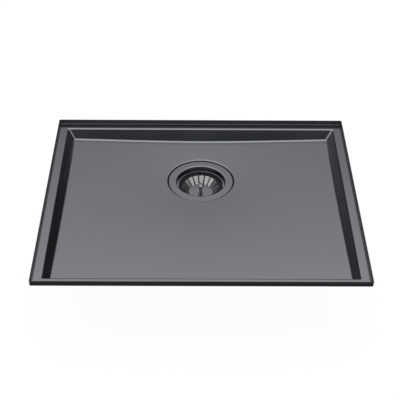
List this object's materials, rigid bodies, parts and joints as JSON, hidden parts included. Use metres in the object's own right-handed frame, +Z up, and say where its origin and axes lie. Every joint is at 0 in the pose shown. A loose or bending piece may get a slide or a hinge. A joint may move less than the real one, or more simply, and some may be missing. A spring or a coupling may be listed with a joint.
{
  "type": "single bowl kitchen sink",
  "caption": "Shallow rectangular dark steel sink bowl with an upturned lip, sloped walls and a floor that falls to a rear basket strainer waste whose slotted basket lifts out.",
  "frame": {"origin": "centre of the pan's outline on the upper face of its rim", "axes": "+X to the right, +Y to the rear, where the waste is, +Z up"},
  "size_m": [0.54, 0.445, 0.155],
  "materials": {
    "gunmetal_steel": "satin dark grey coating",
    "basket_steel": "satin",
    "pad_rubber": "matt",
    "black_rubber": "matt",
    "slip_plastic": "matt",
    "nut_metal": "die cast, satin",
    "tail_steel": "satin"
  },
  "bodies": {
    "sink": {"sink_pan": "gunmetal_steel", "sound_pad_left": "pad_rubber", "sound_pad_right": "pad_rubber", "sound_pad_front": "pad_rubber", "flange_gasket": "black_rubber", "strainer_cup": "gunmetal_steel", "underside_gasket": "black_rubber", "friction_ring": "slip_plastic", "lock_nut": "nut_metal", "tailpiece_washer": "slip_plastic", "tailpiece": "tail_steel", "coupling_nut": "nut_metal"},
    "post": {"basket_post": "gunmetal_steel", "post_knob": "basket_steel", "post_spacer": "tail_steel", "stopper_seal": "black_rubber", "stopper_washer": "tail_steel", "post_nut": "tail_steel"},
    "basket": {"basket": "basket_steel", "basket_collar": "black_rubber"}
  },
  "joints": [
    {"name": "basket_lift", "type": "slide", "parent": "sink", "child": "post", "axis": [0, 0, 1], "range_m": [0, 0.085]},
    {"name": "basket_turn", "type": "hinge", "parent": "post", "child": "basket", "pos_m": [0, 0.075, 0], "axis": [0, 0, 1], "continuous": true}
  ]
}
